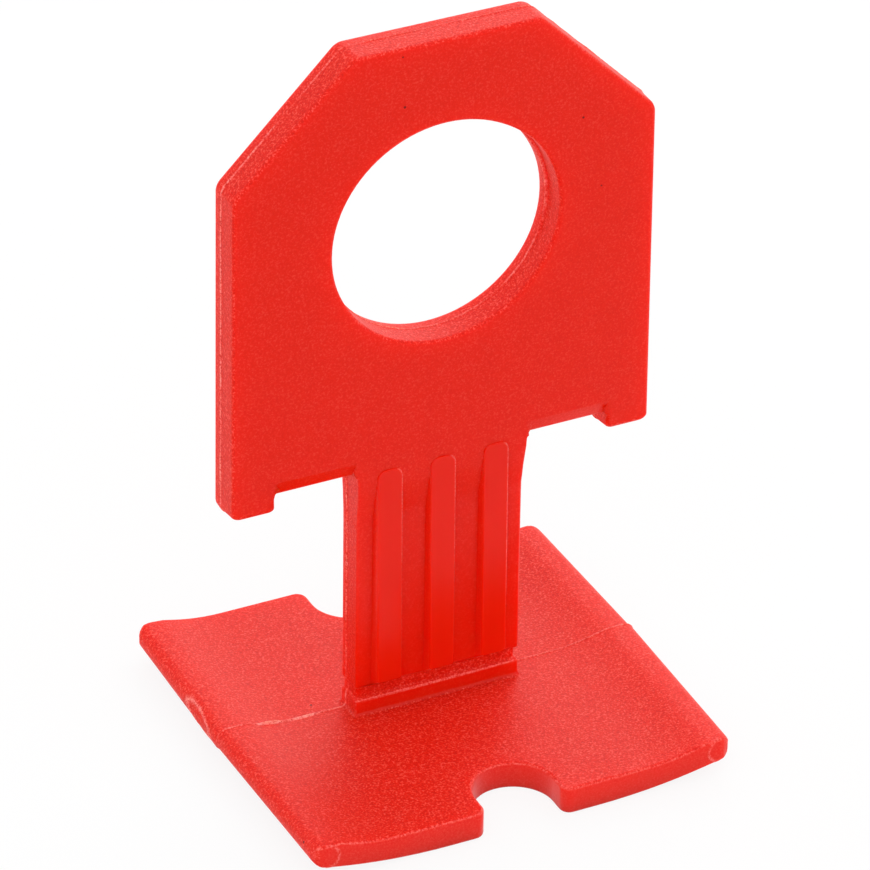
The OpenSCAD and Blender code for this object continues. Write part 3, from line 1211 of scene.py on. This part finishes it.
@dataclass
class Clip:
    """The whole clip: base, neck and head moulded as one piece. Millimetres."""

    plate: HeadAndNeck
    base: Base
    parting: PartingLine
    finish: RedPolypropylene
    gate_y: float = 3.4
    gate_z: float = 2.0
    gate_half_len: float = 1.95
    gate_half_h: float = 0.46
    gate_tilt: float = 0.1
    gate_sink: float = 0.05
    pin_inset: float = 0.35
    pin_r: float = 0.85
    pin_rim: float = 0.03
    pin_rim_w: float = 0.1
    # Painted highlight round the rim of each pin mark
    pin_rim_highlight: float = 0.35
    # Painted light on the base's steep walls, as from the floor's bounce
    wall_bounce_light: float = 0.03
    # Painted highlight on the base's upper rims
    rim_highlight: float = 0.22
    # Painted highlight along the stub's top front edge
    stub_edge_highlight: float = 0.32
    # Painted highlight along the ribs' right edges
    rib_edge_highlight: float = 0.3
    # Shares of a normal along an axis, by which edges, walls and flat faces are told apart
    turned: float = 0.3
    crossing: float = 0.2
    rim_facing: float = 0.86
    rib_edge_facing: float = 0.85
    stub_facing: float = 0.8
    steep: float = 0.5
    flat_facing: float = 0.9
    web_bands: int = 24
    sharp_angle: float = math.radians(42)

    def build(self) -> Object:
        """Models the clip's skin and dresses it.

        Returns:
            The finished piece, in metres.
        """
        plate = working_object("plate", self.plate.build())
        base = working_object("base", self.base.build())
        union = base.modifiers.new("moulded_as_one", "BOOLEAN")
        union.operation = "UNION"
        union.solver = "EXACT"
        union.object = plate
        bm = taken_back(base, plate)
        bmesh.ops.remove_doubles(bm, verts=bm.verts[:], dist=NEAR / 4)
        grain = bm.faces.layers.float.new("grain")
        # Layer of painted highlights and painted light, mixed into the colour as a whitish tint
        painted_light = bm.verts.layers.float.new("painted_light")
        for mark in self.marks():
            mark.press_on(bm, painted_light)
        self.paint_light(bm, painted_light)
        self.divide_web(bm)
        self.parting.raise_on(bm, painted_light, self.base.bead_z)
        bm.normal_update()
        for face in bm.faces:
            face[grain] = self.grain_of(face)
            face.smooth = True
        bmesh.ops.scale(bm, vec=Vector((MM, MM, MM)), verts=bm.verts[:])
        return self.dressed(bm)

    def marks(self) -> list[MouldMark]:
        """Lists the marks on the base.

        Returns:
            The cut-off gate on the left bead, and a round pin mark at each end of both beads.
        """
        gate = MouldMark(
            outward=Vector((-1, 0, 0)), wall=self.base.bead_x,
            middle=Vector((-self.base.half_w, self.gate_y, self.gate_z)),
            half_len=self.gate_half_len, half_h=self.gate_half_h, tilt=self.gate_tilt, sink=self.gate_sink,
        )
        wall = self.base.half_d - self.base.edge_r / 2
        pin_x = self.base.bead_x - self.pin_inset
        pins = [
            MouldMark(
                outward=Vector((0, side, 0)), wall=wall,
                middle=Vector((end * pin_x, side * wall, self.base.bead_z)),
                half_len=self.pin_r, half_h=self.pin_r, rim=self.pin_rim, rim_w=self.pin_rim_w,
                highlight_strength=self.pin_rim_highlight,
            )
            for side in (-1, 1) for end in (-1, 1)
        ]
        return [gate, *pins]

    def paint_light(self, bm: BMesh, painted_light: BMLayerItem) -> None:
        """Paints highlights on the base's upper rims, the stub's top edge and the ribs' right edges, and
        painted light on the base's walls.

        Args:
            bm: Skin of the clip.
            painted_light: Layer of the vertices that holds how strongly highlights and light are painted into
                the colour.
        """
        bm.normal_update()
        for v in bm.verts:
            v[painted_light] = max(v[painted_light], self.painted_light_at(v))

    def painted_light_at(self, v: BMVert) -> float:
        """Finds how much painted highlight and painted light a place of the skin takes.

        Args:
            v: Vertex of the skin.

        Returns:
            Strength of the painted light, from 0 to 1.
        """
        x, y, z = v.co
        on_edge = self.turned < v.normal.z < self.rim_facing
        at_wall = abs(y) > self.base.half_d - self.base.notch_depth - self.base.edge_r
        if at_wall and z < self.parting.base_top:
            across = abs(v.normal.y) > self.crossing or abs(x) < self.base.notch_r + self.base.edge_r
            # Painted highlight on the upper rims of the base's walls
            if on_edge and across:
                return self.rim_highlight
            # Painted bounce light from the floor on the steep walls
            return self.wall_bounce_light if abs(v.normal.z) < self.turned else 0.0
        # Painted highlight along the ribs' right edges, fading out towards the groove
        on_rib = z > self.plate.lip_z and y < self.plate.front_y
        if on_rib and self.turned < v.normal.x < self.rib_edge_facing:
            return self.rib_edge_highlight * ramp(z, self.plate.lip_z, self.plate.rib_top_z)
        # Painted highlight along the stub's top front edge
        at_stub = abs(z - self.plate.stub_z) < self.plate.groove_edge_r / 2 and abs(x) < self.plate.neck_x
        return self.stub_edge_highlight if at_stub and on_edge and v.normal.y < -self.turned else 0.0

    def on_web(self, face: BMFace) -> bool:
        """Whether a face lies on the neck's front, beside the ribs."""
        above_groove = face.calc_center_median().z > self.plate.lip_z
        return above_groove and self.surface_of(face) is Surface.WORN

    def divide_web(self, bm: BMesh) -> None:
        """Divides the neck's front into short bands, so that its grain can fade out downwards.

        Args:
            bm: Skin of the clip.
        """
        bm.normal_update()
        band = (self.plate.relief_z - self.plate.lip_z) / self.web_bands
        for i in range(1, self.web_bands):
            web = [f for f in bm.faces if self.on_web(f)]
            cut(bm, Axis.Z, self.plate.relief_z - i * band, web)

    def grain_of(self, face: BMFace) -> float:
        """Finds the strength of the grain; on the neck's front it fades out downwards from the head's.

        Args:
            face: Face of the skin.

        Returns:
            Strength from 0 to 1.
        """
        surface = self.surface_of(face)
        if not self.on_web(face):
            return surface.value
        fade = ramp(face.calc_center_median().z, self.plate.relief_z, self.plate.lip_z)
        return Surface.FINE.value + (Surface.WORN.value - Surface.FINE.value) * fade

    def surface_of(self, face: BMFace) -> Surface:
        """Tells how the mould left a face.

        Args:
            face: Face of the skin.

        Returns:
            Polished on the ribs, worn on the neck's front, the stub's front and the walls of the base's
            front and back, fine on the flat faces of the head, and coarse elsewhere.
        """
        centre = face.calc_center_median()
        on_neck = abs(centre.x) < self.plate.armpit_x and self.plate.lip_z < centre.z < self.plate.rib_top_z
        if on_neck and centre.y < self.plate.front_y - 2 * NEAR:
            return Surface.POLISHED
        in_front = centre.y < self.plate.neck_front_y + self.plate.neck_edge_r
        if on_neck and in_front and centre.z < self.plate.relief_z:
            return Surface.WORN
        on_stub = self.base.thickness < centre.z < self.plate.stub_z and abs(centre.x) < self.plate.neck_w
        if on_stub and face.normal.y < -self.stub_facing:
            return Surface.WORN
        in_notch = abs(centre.y) > self.base.half_d - self.base.notch_depth - NEAR
        if in_notch and abs(face.normal.z) < self.steep and abs(centre.x) < self.base.bead_x:
            return Surface.WORN
        if centre.z > self.plate.relief_z and abs(face.normal.y) > self.flat_facing:
            return Surface.FINE
        return Surface.COARSE

    def dressed(self, bm: BMesh) -> Object:
        """Makes the piece's object, with its shading, its material and its place in the frame.

        Args:
            bm: Finished skin in metres, freed here.

        Returns:
            The piece.
        """
        piece = working_object("clip_moulding", bm)
        piece.data.set_sharp_from_angle(angle=self.sharp_angle)
        normals = piece.modifiers.new("flat_faces_stay_flat", "WEIGHTED_NORMAL")
        normals.keep_sharp = True
        piece.data.materials.append(self.finish.material())
        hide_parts("clip")
        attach(piece, "root")
        return piece


@dataclass
class PhotoCamera:
    """Camera at the photograph's viewing angle, from a fit to its edges. Metres and degrees."""

    azimuth: float = 26.2952
    elevation: float = 32.3979
    roll: float = 0.8443
    distance: float = 0.437918
    lens: float = 276.38
    sensor: float = 36.0
    nearest: float = 0.01
    farthest: float = 20.0
    aim: tuple[float, float, float] = (0.0003765, 0.00073, 0.0216381)

    def build(self) -> Object:
        """Makes the scene's camera.

        Returns:
            The camera's object.
        """
        azimuth = math.radians(self.azimuth)
        elevation = math.radians(self.elevation)
        along = math.cos(elevation)
        forward = Vector((math.sin(azimuth) * along, math.cos(azimuth) * along, -math.sin(elevation)))
        level = Vector((math.cos(azimuth), -math.sin(azimuth), 0))
        turn = Matrix.Rotation(-math.radians(self.roll), 3, forward)
        right = turn @ level
        up = right.cross(forward)
        data = bpy.data.cameras.new("photo_camera")
        data.sensor_width = self.sensor
        data.lens = self.lens
        data.clip_start = self.nearest
        data.clip_end = self.farthest
        camera = bpy.data.objects.new("photo_camera", data)
        pose = Matrix((right, up, -forward)).transposed().to_4x4()
        pose.translation = Vector(self.aim) - forward * self.distance
        camera.matrix_world = pose
        bpy.context.scene.collection.objects.link(camera)
        bpy.context.scene.camera = camera
        return camera


@dataclass(frozen=True)
class Lamp:
    """Soft square lamp that points at the clip. Metres and watts."""

    name: str
    place: tuple[float, float, float]
    size: float
    power: float

    def hang(self) -> None:
        """Hangs the lamp in the scene."""
        data = bpy.data.lights.new(self.name, "AREA")
        data.size = self.size
        data.energy = self.power
        lamp = bpy.data.objects.new(self.name, data)
        lamp.location = self.place
        lamp.rotation_euler = (-Vector(self.place)).to_track_quat("-Z", "Y").to_euler()
        bpy.context.scene.collection.objects.link(lamp)


@dataclass
class Studio:
    """Plain white studio: a pale floor, an even white surround and soft lamps. Metres."""

    floor_r: float = 3.0
    floor_sides: int = 64
    # The floor lies this far below the underside, so that the two don't share a plane
    floor_gap: float = 0.00002
    paper_hex: str = "#ffffff"
    floor_shadow: float = 0.12
    floor_hex: str = "#f3f3f3"
    surround: float = 0.87
    lamps: tuple[Lamp, ...] = (
        Lamp("back_lamp", (0.28, 0.22, 0.24), size=0.5, power=0.75),
        Lamp("front_lamp", (-0.3, -0.55, 0.8), size=0.8, power=1.3),
        Lamp("edge_lamp", (0.37, 0.76, 0.56), size=0.3, power=0.4),
    )

    def build(self) -> Object:
        """Makes the floor, the lamps and the world.

        Returns:
            The floor's object.
        """
        scene = bpy.context.scene
        scene.view_settings.view_transform = "Standard"
        self.light_world(scene)
        for lamp in self.lamps:
            lamp.hang()
        return self.lay_floor()

    def seen_rays(self, tree: NodeTree) -> NodeSocket:
        """Adds nodes that tell which rays show the background, in the view, in gloss or through glass.

        Args:
            tree: Node tree that takes the nodes.

        Returns:
            Socket that is 1 for those rays and 0 for others.
        """
        path = add_node(tree, "ShaderNodeLightPath").outputs
        shown = path["Is Camera Ray"]
        for ray in ("Is Glossy Ray", "Is Transmission Ray"):
            shown = add_node(tree, "ShaderNodeMath", {
                0: shown, 1: path[ray],
            }, operation="MAXIMUM").outputs[0]
        return shown

    def light_world(self, scene: Scene) -> None:
        """Gives the scene an even surround that shows as white paper.

        Args:
            scene: Scene to light.
        """
        world = bpy.data.worlds.new("white_surround")
        tree = bare_tree(world)
        strength = add_node(tree, "ShaderNodeMapRange", {
            "Value": self.seen_rays(tree), "To Min": self.surround, "To Max": 1.0,
        }).outputs["Result"]
        paper = add_node(tree, "ShaderNodeBackground", {
            "Color": linear_rgb(self.paper_hex), "Strength": strength,
        })
        add_node(tree, "ShaderNodeOutputWorld", {"Surface": paper.outputs["Background"]})
        scene.world = world

    def lay_floor(self) -> Object:
        """Lays the pale floor that the clip stands on.

        Returns:
            The floor's object.
        """
        bm = bmesh.new()
        below = Matrix.Translation((0, 0, -self.floor_gap))
        bmesh.ops.create_circle(
            bm, cap_ends=True, segments=self.floor_sides, radius=self.floor_r, matrix=below,
        )
        floor = working_object("floor", bm)
        paper = bpy.data.materials.new("white_paper_floor")
        tree = bare_tree(paper)
        matt = add_node(tree, "ShaderNodeBsdfDiffuse", {"Color": linear_rgb(self.floor_hex)}).outputs[0]
        white = add_node(tree, "ShaderNodeEmission", {"Color": linear_rgb(self.paper_hex)}).outputs[0]
        share = add_node(tree, "ShaderNodeMath", {
            0: self.seen_rays(tree), 1: 1 - self.floor_shadow,
        }, operation="MULTIPLY").outputs[0]
        mixed = add_node(tree, "ShaderNodeMixShader", {0: share, 1: matt, 2: white})
        add_node(tree, "ShaderNodeOutputMaterial", {"Surface": mixed.outputs[0]})
        floor.data.materials.append(paper)
        return floor


def eye_of(record: dict) -> tuple[float, float]:
    """Reads the eye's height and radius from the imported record.

    Args:
        record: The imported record.

    Returns:
        Height of the eye's centre and its radius, in millimetres.
    """
    eye = next(mount for mount in record["mounts"] if mount["name"] == "eye")
    return eye["pos_m"][2] / MM, eye["dims"]["r_mm"]


def main() -> None:
    logging.basicConfig(level=logging.INFO, format="%(name)s: %(message)s")
    camera = PhotoCamera().build()
    log.info("%s looks at the clip through a %.0f mm lens", camera.name, camera.data.lens)
    floor = Studio().build()
    log.info("%s is laid", floor.name)
    base = Base(half_w=cad_high.x / MM, half_d=cad_high.y / MM)
    eye_z, eye_r = eye_of(frame["record"])
    plate = HeadAndNeck(top_z=cad_high.z / MM, eye_z=eye_z, eye_r=eye_r, base_t=base.thickness)
    parting = PartingLine(
        base_top=base.bead_z + base.bead_r, head_side=plate.recess_x, eye_z=eye_z, eye_r=eye_r,
    )
    piece = Clip(plate, base, parting, RedPolypropylene()).build()
    log.info("%s has %d faces", piece.name, len(piece.data.polygons))


if __name__ == "__main__":
    main()
